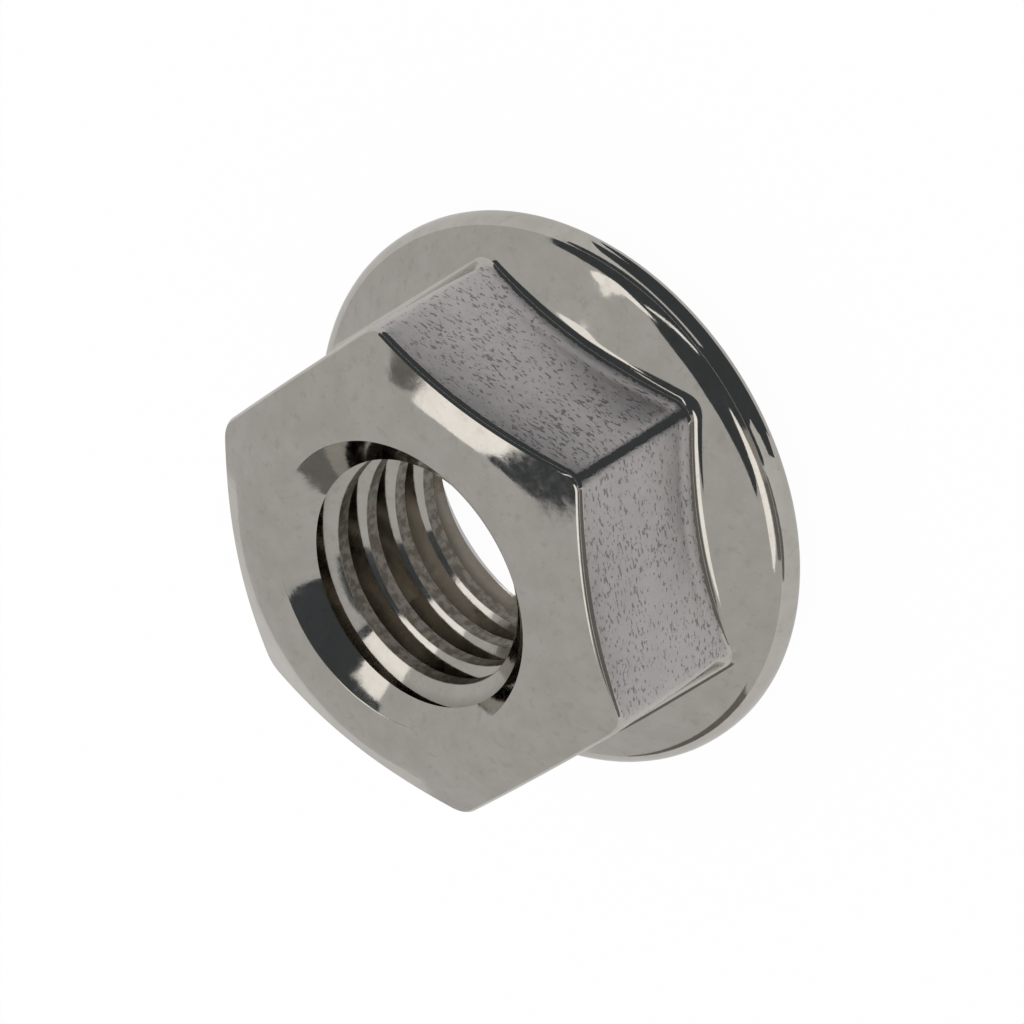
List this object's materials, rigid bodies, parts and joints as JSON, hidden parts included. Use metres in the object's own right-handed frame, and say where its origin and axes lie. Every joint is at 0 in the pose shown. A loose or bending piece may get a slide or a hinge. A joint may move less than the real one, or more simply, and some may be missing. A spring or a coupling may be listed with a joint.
{
  "type": "serrated flange nut",
  "caption": "Serrated hexagon flange nut: a chamfered hexagon rising from a round sloped flange, with a toothed bearing face and a coarse-threaded through hole.",
  "frame": {"origin": "centre of the bearing face, on the plane of the tooth tips, so the nut stands on z = 0", "axes": "+Z along the bore, from the toothed bearing face to the top of the hexagon; one hexagon corner points to -Y and two flats face +X and -X"},
  "size_m": [0.0166, 0.0166, 0.008],
  "materials": {
    "steel": "satin, tumbled stainless steel"
  },
  "bodies": {
    "root": {"flange_nut": "steel"}
  },
  "joints": []
}
